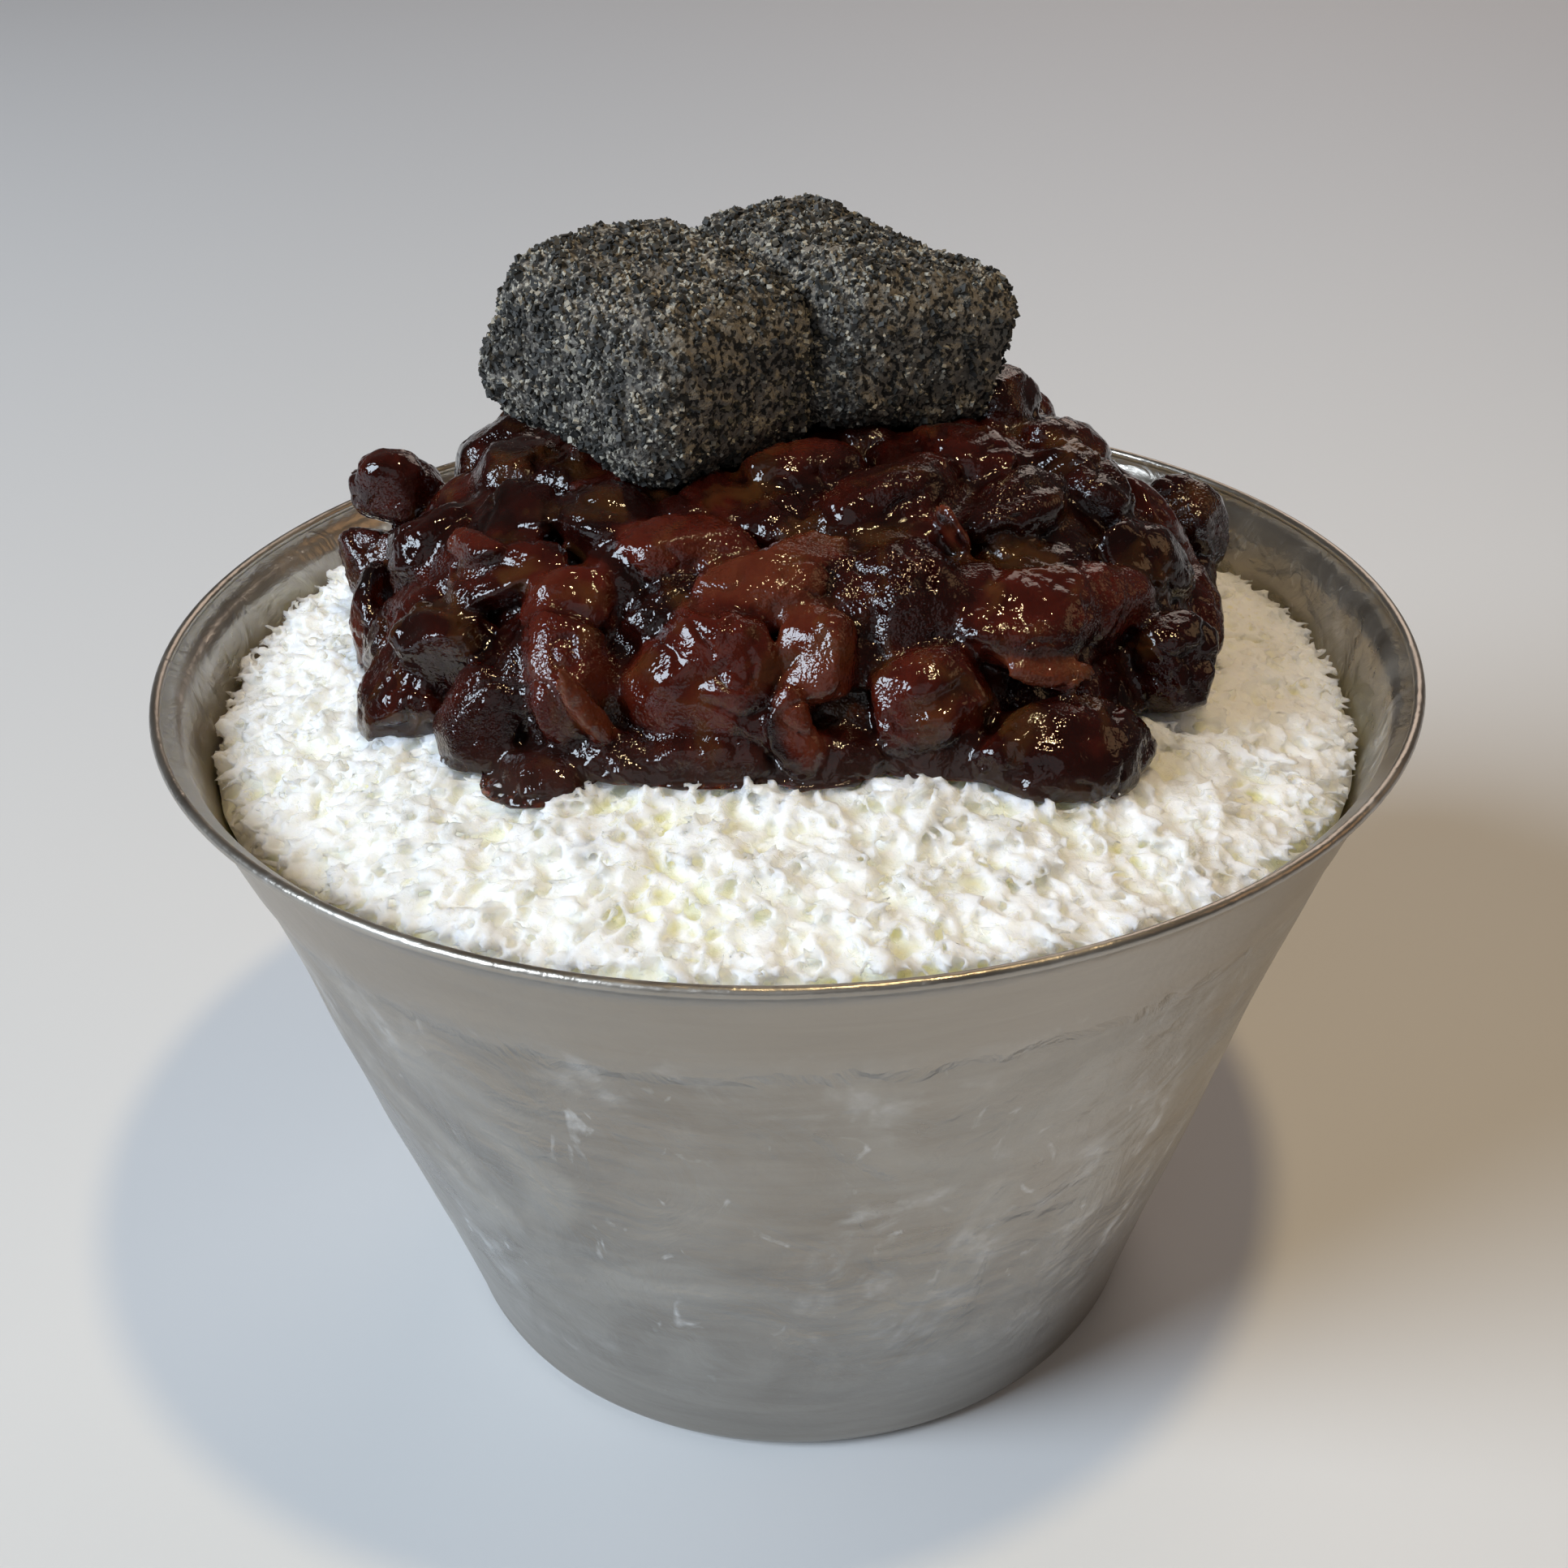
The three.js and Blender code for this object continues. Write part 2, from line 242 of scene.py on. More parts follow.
# a finished mesh in millimetres becomes a piece of the part
def addPiece(name, mesh, finish, nodes=(), smooth=True):
    mesh.transform(Matrix.Scale(metresPerMillimetre, 4))
    mesh.polygons.foreach_set("use_smooth", [smooth] * len(mesh.polygons))
    mesh.materials.clear()
    mesh.materials.append(finish)
    mesh.name = name
    piece = addObject(name, mesh)
    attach(piece, "root")
    if nodes:
        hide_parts(*nodes)
    print(name, len(trianglesOf(mesh)), "triangles")


# node work shared by the finishes

def newFinish(name, settings):
    finish = bpy.data.materials.new(name)
    finish.use_nodes = True
    shader = finish.node_tree.nodes["Principled BSDF"]
    for label, value in settings.items():
        shader.inputs[label].default_value = value
    return finish, finish.node_tree, shader


# a node with its settings, its plain inputs and its links; a link is an output socket
def addNode(tree, kind, inputs=None, **settings):
    node = tree.nodes.new(kind)
    for label, value in settings.items():
        setattr(node, label, value)
    for label, value in (inputs or {}).items():
        if isinstance(value, bpy.types.NodeSocket):
            tree.links.new(value, node.inputs[label])
        else:
            node.inputs[label].default_value = value
    return node


def colour(tone):
    return (*tone, 1)


def mixColours(tree, mask, first, second):
    node = addNode(tree, "ShaderNodeMix", {0: mask, 6: first, 7: second}, data_type="RGBA")
    return node.outputs[2]


def reckon(tree, operation, first, second):
    return addNode(tree, "ShaderNodeMath", {0: first, 1: second}, operation=operation).outputs[0]


def times(tree, first, second):
    return reckon(tree, "MULTIPLY", first, second)


def remap(tree, value, low, high, outLow=0.0, outHigh=1.0):
    node = addNode(tree, "ShaderNodeMapRange", {0: value, 1: low, 2: high, 3: outLow, 4: outHigh})
    return node.outputs[0]


def attributeValue(tree, label):
    return addNode(tree, "ShaderNodeAttribute", attribute_name=label).outputs["Fac"]


def objectPlace(tree, scale=(1, 1, 1)):
    place = addNode(tree, "ShaderNodeTexCoord").outputs["Object"]
    if scale == (1, 1, 1):
        return place
    return addNode(tree, "ShaderNodeMapping", {"Vector": place, "Scale": scale}).outputs[0]


# an uneven mask from noise, placed in every finish with its own values
def makeMottle():
    group = bpy.data.node_groups.new("mottle", "ShaderNodeTree")
    labels = (("Vector", "Vector", None), ("Scale", "Float", 400), ("Detail", "Float", 3),
              ("Distortion", "Float", 0), ("From", "Float", 0.4), ("To", "Float", 0.6))
    for label, kind, value in labels:
        socket = group.interface.new_socket(label, in_out="INPUT", socket_type="NodeSocket" + kind)
        if value is not None:
            socket.default_value = value
    group.interface.new_socket("Mask", in_out="OUTPUT", socket_type="NodeSocketFloat")
    given = group.nodes.new("NodeGroupInput").outputs
    pattern = addNode(group, "ShaderNodeTexNoise", {
        "Vector": given["Vector"], "Scale": given["Scale"], "Detail": given["Detail"],
        "Distortion": given["Distortion"]})
    spread = addNode(group, "ShaderNodeMapRange", {
        0: pattern.outputs["Fac"], 1: given["From"], 2: given["To"]})
    group.links.new(spread.outputs[0], group.nodes.new("NodeGroupOutput").inputs["Mask"])
    return group


mottleGroup = makeMottle()


def mottle(tree, place, scale, low, high, detail, distortion=0):
    node = addNode(tree, "ShaderNodeGroup")
    node.node_tree = mottleGroup
    tree.links.new(place, node.inputs["Vector"])
    values = {"Scale": scale, "Detail": detail, "Distortion": distortion, "From": low, "To": high}
    for label, value in values.items():
        node.inputs[label].default_value = value
    return node.outputs[0]


def addRelief(tree, shader, height, strength, distance, below=None):
    relief = addNode(tree, "ShaderNodeBump", {
        "Strength": strength, "Distance": distance * metresPerMillimetre, "Height": height})
    if below is not None:
        tree.links.new(below.outputs[0], relief.inputs["Normal"])
    tree.links.new(relief.outputs[0], shader.inputs["Normal"])
    return relief


# the bowl: a tapered wall of one sheet with a rolled bead at the rim
bowl = {
    "height": 74, "baseRadius": 36.9, "wallSlope": 0.2785, "lipFlare": 1.8, "sheet": 0.9,
    "beadRadius": 0.52, "rimTurnOut": 0.92, "heelRadius": 2.4, "sides": 192, "wallStep": 1.6,
    "dentDepth": 0.6, "dentSpan": (15, 22), "ledgeAt": 62, "ledge": 0.2, "frostBand": (5, 66),
    "steel": ((0.3, 0.273, 0.24), (0.37, 0.338, 0.3)), "bandTone": (0.41, 0.366, 0.315),
    "hazeTone": (0.45, 0.43, 0.395), "frostTone": (0.78, 0.79, 0.8),
}


def wallRadius(height):
    flare = bowl["lipFlare"] * (height / bowl["height"]) ** 6
    return bowl["baseRadius"] + bowl["wallSlope"] * height + flare


def innerRadius(height):
    return wallRadius(height) - bowl["sheet"]


def bowlProfile():
    heel, sheet, bead = bowl["heelRadius"], bowl["sheet"], bowl["beadRadius"]
    heelSteps, beadSteps, beadFrom, beadSweep = 6, 14, -60, 300
    beadHeight = bowl["height"] - bead
    beadMiddle = wallRadius(beadHeight) - sheet / 2 + bowl["rimTurnOut"]
    levels = np.arange(heel + 1, beadHeight - 1.2, bowl["wallStep"])
    points = [(0, 0), (16, 0), (28, 0)]
    for step in range(heelSteps + 1):
        angle = step / heelSteps * math.pi / 2
        out = wallRadius(heel) - heel * (1 - math.sin(angle))
        points.append((out, heel * (1 - math.cos(angle))))
    points += [(wallRadius(level), level) for level in levels]
    for step in range(beadSteps + 1):
        angle = (beadFrom + step / beadSteps * beadSweep) * degree
        points.append((beadMiddle + bead * math.cos(angle), beadHeight + bead * math.sin(angle)))
    points += [(innerRadius(level), level) for level in levels[::-1]]
    innerHeel = heel - sheet
    for step in range(heelSteps, -1, -1):
        angle = step / heelSteps * math.pi / 2
        out = innerRadius(heel) - innerHeel * (1 - math.sin(angle))
        points.append((out, sheet + innerHeel * (1 - math.cos(angle))))
    return points + [(0, sheet)]


# shallow dents in the sheet, deeper on the left; none at the rim and the base
def dentAt(x, y, z):
    share = z / bowl["height"]
    mask = max(0, min(1, 4 * share, 7 * (1 - share)))
    azimuth = math.atan2(y, x)
    leftward = 0.35 + 0.65 * max(0, -math.cos(azimuth + 0.35)) ** 1.5
    across, upward = bowl["dentSpan"]
    place = Vector((x / across, y / across, z / upward))
    waves = noise.noise(place) + 0.6 * noise.noise(place * 2.2)
    ledge = bowl["ledge"] * mask * max(0, min(1, z - bowl["ledgeAt"] - 0.03 * x))
    return bowl["dentDepth"] * mask * leftward * waves + ledge


def spinProfile(points, sides):
    bm = bmesh.new()
    verts = [bm.verts.new((out, 0, level)) for out, level in points]
    edges = [bm.edges.new(pair) for pair in zip(verts, verts[1:])]
    bmesh.ops.spin(bm, geom=verts + edges, cent=(0, 0, 0), axis=(0, 0, 1), angle=2 * math.pi,
                   steps=sides, use_merge=True)
    bmesh.ops.remove_doubles(bm, verts=bm.verts, dist=1e-4)
    bmesh.ops.recalc_face_normals(bm, faces=bm.faces)
    return bm


# where frost forms: round the middle of the outside, inside above the ice, and on the rim
def frostAt(x, y, z):
    if z > bowl["height"] - 2 * bowl["beadRadius"]:
        return 0.6
    if math.hypot(x, y) > wallRadius(z) - bowl["sheet"] / 2:
        leftward = max(0, -x / math.hypot(x, y))
        low, high = bowl["frostBand"]
        return max(0, min(1, (z - low) / 14, (high - z) / 11)) * (1 + 0.35 * leftward)
    belowRim = min(1, (bowl["height"] + 1 - z) / 4)
    return max(0, belowRim) * (1.3 + 0.2 * math.cos(math.atan2(y, x) - 0.1))


def makeBowl():
    bm = spinProfile(bowlProfile(), bowl["sides"])
    frosted = []
    for vert in bm.verts:
        x, y, z = vert.co
        frosted.append(frostAt(x, y, z))
        if math.hypot(x, y) > bowl["baseRadius"]:
            outward = Vector((x, y, 0)).normalized()
            vert.co += outward * dentAt(x, y, z)
    mesh = meshFrom(bm, "bowl_wall")
    setValues(mesh, "frosted", frosted)
    return mesh


# satin steel, cloudy all over, with smears and veins of frost, small drips, and a film
# that ends in a ragged edge below the rim
def bowlFinish():
    finish, tree, shader = newFinish("frosted_steel", {"Metallic": 1.0, "Roughness": 0.4})
    place = objectPlace(tree)
    frosted = attributeValue(tree, "frosted")
    brushed = mottle(tree, objectPlace(tree, (1, 1, 7)), 70, 0.3, 0.7, 5, 0.8)
    cloud = mottle(tree, place, 45, 0.36, 0.66, 7, 1.8)
    smears = mottle(tree, objectPlace(tree, (1, 1, 0.6)), 36, 0.5, 0.68, 6, 1.2)
    veins = mottle(tree, place, 95, 0.48, 0.72, 8, 1.6)
    grains = mottle(tree, place, 480, 0.42, 0.62, 4, 0.6)
    fine = mottle(tree, place, 1100, 0.3, 0.7, 3)
    drips = mottle(tree, objectPlace(tree, (1, 1, 0.6)), 300, 0.64, 0.8, 4, 1.2)
    frost = times(tree, reckon(tree, "MAXIMUM", drips, times(tree, smears, veins)),
                  times(tree, frosted, remap(tree, grains, 0, 1, 0.3, 0.95)))
    haze = times(tree, times(tree, frosted, 0.6), cloud)
    tone = mixColours(tree, brushed, *(colour(steel) for steel in bowl["steel"]))
    swirls = mottle(tree, place, 110, 0.25, 0.75, 5, 2)
    height = addNode(tree, "ShaderNodeSeparateXYZ", {0: place}).outputs[2]
    height = reckon(tree, "ADD", height, times(tree, swirls, 0.003))
    band = remap(tree, height, 0.062, 0.0634)
    film = times(tree, mottle(tree, place, 52, 0.47, 0.54, 9, 0.9), frosted)
    tone = mixColours(tree, times(tree, band, 0.5), tone, colour(bowl["bandTone"]))
    tone = mixColours(tree, haze, tone, colour(bowl["hazeTone"]))
    tone = mixColours(tree, frost, tone, colour(bowl["frostTone"]))
    tree.links.new(tone, shader.inputs["Base Color"])
    dull = reckon(tree, "MAXIMUM", frost, times(tree, haze, 0.6))
    tree.links.new(remap(tree, dull, 0, 1, 1, 0.5), shader.inputs["Metallic"])
    rough = reckon(tree, "ADD", remap(tree, haze, 0, 1, 0.32, 0.44),
                   remap(tree, brushed, 0, 1, 0, 0.05))
    rough = reckon(tree, "ADD", rough, times(tree, frost, 0.15))
    rough = reckon(tree, "SUBTRACT", rough, times(tree, film, 0.07))
    tree.links.new(rough, shader.inputs["Roughness"])
    bumps = times(tree, reckon(tree, "ADD", frosted, 0.25), swirls)
    broad = addRelief(tree, shader, bumps, 0.38, 0.4)
    ridges = reckon(tree, "ADD", film, times(tree, band, 1.6))
    edges = addRelief(tree, shader, ridges, 0.75, 0.12, broad)
    lines = addRelief(tree, shader, brushed, 0.12, 0.12, edges)
    grit = reckon(tree, "ADD", times(tree, fine, 0.4), frost)
    addRelief(tree, shader, grit, 0.3, 0.1, lines)
    return finish


addPiece("bowl_wall", makeBowl(), bowlFinish(), ["bowl"])

# the shaved ice: a dome, highest in the middle; "bankAt" and "fluffAt" are azimuths in
# degrees, and "underMound" is how far the shreds go in under the beans
ice = {
    "crown": 2.8, "drop": 6.8, "frontRise": 4.4, "bankRise": 2.2, "bankAt": 142, "domePower": 2.4,
    "voxel": 0.24, "shreds": 11000, "shredLength": [1.6, 4.8], "shredThickness": [0.32, 0.55],
    "fluffAt": 165, "sides": 150, "lowest": 60, "triangles": 192000, "clumpSize": 4.2,
    "clumpRise": 1.1, "underMound": 4, "milk": (0.975, 0.98, 0.935),
    # the next colour is a yellowish painted shade for the pits and holes
    "paintedPitShadeTone": (0.93, 0.88, 0.56),
}


def iceEdgeDrop(azimuth):
    front = max(0, -math.sin(azimuth)) ** 2.5
    bank = max(0, math.cos(azimuth - ice["bankAt"] * degree)) ** 12
    rise = ice["frontRise"] * front + ice["bankRise"] * bank
    return ice["drop"] - rise + 0.7 * math.cos(azimuth)


def iceLevel(x, y):
    drop = iceEdgeDrop(math.atan2(y, x))
    share = min(1, math.hypot(x, y) / innerRadius(bowl["height"] - drop))
    return bowl["height"] - drop + (ice["crown"] + drop) * (1 - share ** ice["domePower"])


def iceLevels(points):
    return np.array([iceLevel(x, y) for x, y in points[:, :2]])


# the red beans in syrup, heaped on the ice: beans are drawn from the ranges of length,
# width and thickness, and the skins' tones run from dark syrup to pale skin
mound = {
    "crown": 19, "lean": 0.08, "reach": 37.5, "sideStretch": 3.4, "frontTuck": 4.6,
    "tuckSpread": 40, "spacing": 7.8, "tries": 2600, "footShare": 0.22,
    "length": [8.6, 12], "width": [6.4, 7.8], "thickness": [5.2, 6.6],
    "voxel": 0.33, "coreSink": 3, "coreInset": 0.9, "fillers": 700, "fillerSpacing": 4.8,
    "fillRounds": 10, "plump": [1.25, 1.15], "triangles": 197000,
    "skins": [(0, (0.005, 0.0012, 0.0009)), (0.3, (0.019, 0.0026, 0.0015)),
              (0.6, (0.062, 0.0078, 0.0038)), (1, (0.105, 0.024, 0.01))],
    # the colour for the creases, the second on the next line, is a painted shade
    "amber": (0.085, 0.032, 0.008), "paintedCreaseTone": (0.004, 0.0012, 0.001),
    "film": (0.034, 0.019, 0.015), "lumps": [(0.26, 3.0), (0.1, 1.2)],
    "wrinkles": [(0.35, 3.4, 7.0, 0.1), (0.14, 1.5, 5.0, 0.15)],
}
gap = 0.3  # left between the solids


def moundEdge(azimuth):
    fromFront = math.atan2(math.sin(azimuth + math.pi / 2), math.cos(azimuth + math.pi / 2))
    tuck = mound["frontTuck"] * math.exp(-(fromFront / (mound["tuckSpread"] * degree)) ** 2)
    return mound["reach"] + mound["sideStretch"] * math.cos(azimuth) ** 2 - tuck


def moundPoint(azimuth, share):
    radius = moundEdge(azimuth) * share
    x, y = radius * math.cos(azimuth), radius * math.sin(azimuth)
    low = iceLevel(x, y) + 1.5 * gap
    high = bowl["height"] + mound["crown"] + mound["lean"] * y
    rise = (1 - min(1, share) ** 3.5) ** (2 / 3)
    return Vector((x, y, low + 0.8 + (high - low) * rise))


def moundFrame(azimuth, share, turn):
    step = 0.01
    here = moundPoint(azimuth, share)
    around = (moundPoint(azimuth + step, share) - here).normalized()
    down = (moundPoint(azimuth, share + step) - here).normalized()
    out = down.cross(around).normalized()
    along = Matrix.Rotation(turn, 3, out) @ around
    return here, along, out.cross(along), out


# the large beans: outermost point (x, y and height above the rim), length, width,
# thickness, turn in degrees, tone (0 dark syrup, 0.5 red skin, 1 pale tan skin)
largeBeans = [
    (-26, 0, 19, 11, 9, 8, 20, 0.3),
    (-42.5, 10.5, 13, 8, 7.5, 10, 0, 0.35),
    (-45, 9.5, 5, 9, 7, 11, 90, 0.35),
    (-35.5, -5, 13, 12, 10, 9, 45, 0.2),
    (-19, -22, 15, 9, 7, 6.5, 50, 0.6),
    (-9, -18.5, 18.5, 12.5, 7, 6.5, 12, 0.65),
    (-1, -23, 17, 14.5, 7.5, 6.5, 28, 0.85),
    (-33, -20, 9, 10, 9, 8, 30, 0.25),
    (-37, -19, 3, 12.5, 10.5, 9, 60, 0.35),
    (-22, -33.5, 1, 10.5, 8, 8, 10, 0.3),
    (-7, -30.5, 11, 13, 11.5, 8, 50, 0.55),
    (2.5, -30, 12, 8, 6.5, 6, 80, 0.8),
    (11.5, -24.5, 15, 12.5, 10, 8, 100, 0.25),
    (12.5, -32, 8, 10.5, 9.5, 8, 0, 0.5),
    (9.5, -11.5, 20.5, 14, 7, 6.5, 5, 0.3),
    (29.5, -19, 11.5, 12, 6.5, 7, -20, 0.5),
    (38, -19, 5.5, 10.5, 9.5, 9, 0, 0.2),
    (25, -33.5, 3, 15, 9.5, 9, -5, 0.25),
    (22, 11.5, 22.5, 10, 8, 8, -30, 0.35),
    (33, 12.5, 12, 9, 8, 7, 0, 0.3),
    (44.5, 12, 6.5, 10.5, 9.5, 9, 90, 0.3),
    (43.5, 7.5, 1, 8, 7, 9, 0, 0.3),
    (-15, -33, 2.5, 10, 7.5, 7, -20, 0.2),
    (-7, -34, 2.8, 12, 8.5, 7, 0, 0.3),
    (3, -34, 2.8, 11, 8, 7, 15, 0.25),
    (14, -33.2, 2.8, 11, 8, 7, -10, 0.2),
]

# curled skins and split beans that stick out: middle, direction, facing, size and tone
looseSkins = [
    ((-16.5, -30.3, 7.2), (0.5, 0.1, -0.86), (0.1, -0.8, 0.6), (8, 3.2, 2.6), 1.0),
    ((21.8, -26.9, 8.2), (0.96, 0.2, -0.2), (0.1, -0.6, 0.8), (8.5, 3, 1.5), 1.0),
    ((14.8, -17.2, 16.2), (0.45, -0.3, -0.84), (0.6, -0.7, 0.3), (5.5, 1.2, 3.4), 0.9),
    ((1.3, -32.2, 5.6), (0.3, -0.25, -0.92), (0.2, -0.95, 0.2), (8, 3.4, 3), 0.8),
    ((-27, -14, 15.5), (0.7, -0.7, 0.1), (-0.3, -0.4, 0.86), (7, 3.2, 2), 0.7),
    ((27, -12, 17), (0.5, 0.85, 0), (0.2, -0.3, 0.93), (7.5, 3.2, 2), 0.55),
]

# rice cakes: block size, middle above the rim, turns in degrees about Z, Y and X
leftCake = {
    "size": (21.5, 23.5, 16.5), "at": (-11, 1.5, 27.6), "turn": (40, 8, 10), "skew": -0.12,
    "taper": 0.1, "round": 5, "seed": 3, "peak": (-6, 8, 0.2),
}
rightCake = {
    "size": (20, 23.5, 15.2), "at": (6.1, 10.6, 26.9), "turn": (27, 12, -2), "skew": -0.28,
    "taper": 0.06, "round": 3.6, "seed": 8, "peak": (1, 10, 1.6),
}


def cakePlacement(cake):
    aboutZ, aboutY, aboutX = (value * degree for value in cake["turn"])
    turn = Matrix.Rotation(aboutX, 4, "X") @ Matrix.Rotation(aboutY, 4, "Y")
    turn = turn @ Matrix.Rotation(aboutZ, 4, "Z")
    middle = Vector(cake["at"]) + Vector((0, 0, bowl["height"]))
    return Matrix.Translation(middle) @ turn


def clearOfCakes(point, reach):
    for cake in (leftCake, rightCake):
        local = cakePlacement(cake).inverted() @ point
        excess = [max(0, abs(value) - size / 2) for value, size in zip(local, cake["size"])]
        if math.hypot(*excess) <= reach:
            return False
    return True


def beanPlaces():
    random = seededRandom(11)
    places = []
    for x, y, rise, length, width, thickness, turn, tone in largeBeans:
        azimuth = math.atan2(y, x)
        share = min(0.97, math.hypot(x, y) / moundEdge(azimuth))
        here, along, across, out = moundFrame(azimuth, share, turn * degree)
        middle = Vector((x, y, bowl["height"] + rise)) - out * thickness / 2
        places.append({"middle": middle, "axes": (along, across, out), "bend": 0.1,
                       "size": (length, width, thickness), "tone": tone, "large": True})
    for _ in range(mound["tries"]):
        azimuth = random() * 2 * math.pi
        share = 0.985 if random() < mound["footShare"] else 0.1 + 0.86 * random() ** 0.45
        turn = random() * math.pi
        size = [between(mound[side], random()) for side in ("length", "width", "thickness")]
        lift = 0.9 * (random() - 0.5)
        bend = 0.25 * random()
        here, along, across, out = moundFrame(azimuth, share, turn)
        middle = here + out * (lift - size[2] * 0.2)
        crowded = any((other["middle"] - middle).length
                      < mound["spacing"] * (other["size"][0] + other["size"][1]) / 18
                      for other in places)
        if not crowded and clearOfCakes(middle, 1.5):
            tone = 0.15 + 0.5 * (0.5 + 0.5 * math.sin(len(places) * 2.4))
            places.append({"middle": middle, "axes": (along, across, out), "bend": bend,
                           "size": size, "tone": tone, "large": False})
    return places


# a second layer between and under the first
def fillerPlaces(places):
    random = seededRandom(31)
    fillers = []
    for _ in range(mound["fillers"]):
        azimuth = random() * 2 * math.pi
        share = 0.1 + 0.9 * random() ** 0.5
        size = [between(mound[side], 0.5 * random()) for side in ("length", "width", "thickness")]
        here, along, across, out = moundFrame(azimuth, share, random() * math.pi)
        middle = here - out * (size[2] * 0.42 + 0.8 * random())
        crowded = any((other["middle"] - middle).length < mound["fillerSpacing"]
                      for other in places + fillers)
        if not crowded and clearOfCakes(middle, 1.5):
            fillers.append({"middle": middle, "axes": (along, across, out), "bend": 0.2 * random(),
                            "size": size, "tone": 0.1 + 0.3 * random(), "large": False})
    return fillers


def skinPlaces():
    places = []
    for (x, y, rise), direction, facing, size, tone in looseSkins:
        along = Vector(direction).normalized()
        across = Vector(facing).cross(along).normalized()
        places.append({"middle": Vector((x, y, bowl["height"] + rise)), "bend": 0.5,
                       "axes": (along, across, along.cross(across)), "size": size,
                       "tone": tone, "large": True})
    return places


# a kidney shape, lumpy, wrinkled and pressed flat in places; some have burst
def makeBean(place, seed):
    bm = bmesh.new()
    bmesh.ops.create_icosphere(bm, subdivisions=4, radius=1)
    length, width, thickness = place["size"]
    plump = mound["plump"][1 if place["large"] else 0]
    halves = (plump * length / 2, plump * width / 2, thickness / 2)
    shift = Vector((seed * 7.3, seed * 3.1, -seed * 5.7))
    burst = 0.2 if seed % 3 == 1 else 0.0
    flats = [(noise.random_unit_vector(), 0.68 + 0.16 * noise.random()) for _ in range(7)]
    for vert in bm.verts:
        x, y, z = vert.co
        uneven = 1 + 0.22 * noise.noise(vert.co * 1.1 + shift)
        wrinkle = abs(noise.noise(Vector((x * 1.6, y * 4.2, z * 4.2)) + shift))
        uneven -= 0.08 * max(0, 0.3 - wrinkle) / 0.3
        seam = y - 0.25 * math.sin(2 * x + seed)
        uneven -= burst * math.exp(-(seam / 0.14) ** 2) * max(0, z) * max(0, 1 - x * x)
        spot = Vector((x, y - place["bend"] * (1 - x * x), z)) * uneven
        for facing, reach in flats:
            spot -= facing * 0.9 * max(0, spot.dot(facing) - reach)
        vert.co = [value * half for value, half in zip(spot, halves)]
    along, across, out = place["axes"]
    basis = Matrix((along, across, out)).transposed().to_4x4()
    bm.transform(Matrix.Translation(place["middle"]) @ basis)
    return meshFrom(bm, "bean")


# the heap's core, a little smaller than its solid
def makeCore():
    sides, shares = 90, [0, 0.2, 0.4, 0.6, 0.75, 0.86, 0.94, 1.0]
    profile = [(share, 1) for share in shares] + [(0.6, 0), (0, 0)]
    bm = spinProfile(profile, sides)
    for vert in bm.verts:
        share, azimuth = math.hypot(vert.co.x, vert.co.y), math.atan2(vert.co.y, vert.co.x)
        top = moundPoint(azimuth, share)
        inward = 1 - mound["coreInset"] / moundEdge(azimuth)
        x, y = top.x * inward, top.y * inward
        floor = iceLevel(x, y) + 1.5 * gap
        uneven = 0.9 * noise.noise(top / 4.5)
        level = max(floor + 1.2, top.z - mound["coreSink"] + uneven)
        vert.co = (x, y, level if vert.co.z > 0.5 else floor)
    return meshFrom(bm, "core")


# nothing of the heap goes into the ice
def cutBelow(mesh, clearance):
    points = pointsOf(mesh)
    points[:, 2] = np.maximum(points[:, 2], iceLevels(points) + clearance)
    movePoints(mesh, points)


# syrup fills the creases, in some places more than in others: points move outwards
# freely and inwards only a little
def fillCreases(mesh, rounds):
    edges, normals = edgesOf(mesh), normalsOf(mesh)
    points = pointsOf(mesh)
    draped = np.clip(0.55 + 1.5 * noiseAt(points, 9), 0.12, 1)[:, None]
    for _ in range(rounds):
        step = neighbourMean(points, edges) - points
        outward = np.sum(step * normals, axis=1)
        points += np.where(outward > 0, 0.6, 0.08)[:, None] * step * draped
    movePoints(mesh, points)


def makeBeans():
    places = beanPlaces()
    fillers = fillerPlaces(places)
    everyBean = places + fillers + skinPlaces()
    noise.seed_set(5)
    meshes = [makeBean(place, index) for index, place in enumerate(everyBean)]
    print("beans", len(places), "and", len(fillers), "below them")
    voxel = mound["voxel"] * 1
    mesh = outerSkin(wrapVoxels(meshes + [makeCore()], voxel, "beans"))
    cutBelow(mesh, gap)
    fillCreases(mesh, mound["fillRounds"])
    roughen(mesh, mound["lumps"], 3.0)
    wrinkleSkins(mesh, mound["wrinkles"])
    points = pointsOf(mesh)
    onIce = points[:, 2] - iceLevels(points) < gap + 0.2
    mesh = thinOut(mesh, onIce | (normalsOf(mesh)[:, 2] < -0.95), mound["triangles"])
    setBeanTones(mesh, everyBean)
    return mesh


# wrinkled skins: patches of narrow grooves; each layer is (depth, spacing, size of a
# patch, width of a groove against the noise)
def wrinkleSkins(mesh, layers):
    points, normals = pointsOf(mesh), normalsOf(mesh)
    for depth, size, patch, width in layers:
        shift = Vector((3.7, 9.1, size * 40))
        groove = np.maximum(0, width - np.abs(noiseAt(points, size, shift))) / width
        where = np.clip(0.5 + 3.2 * noiseAt(points, patch, -shift), 0, 1)
        points -= normals * (depth * groove * where)[:, None]
    movePoints(mesh, points)


# 1 in the hollows between beans, 0 on their backs; it sets where shade is painted
def hollowness(mesh, rounds, depth):
    points, normals, edges = pointsOf(mesh), normalsOf(mesh), edgesOf(mesh)
    smooth = points.copy()
    for _ in range(rounds):
        smooth = 0.4 * smooth + 0.6 * neighbourMean(smooth, edges)
    return np.clip(np.sum((smooth - points) * normals, axis=1) / depth, 0, 1)
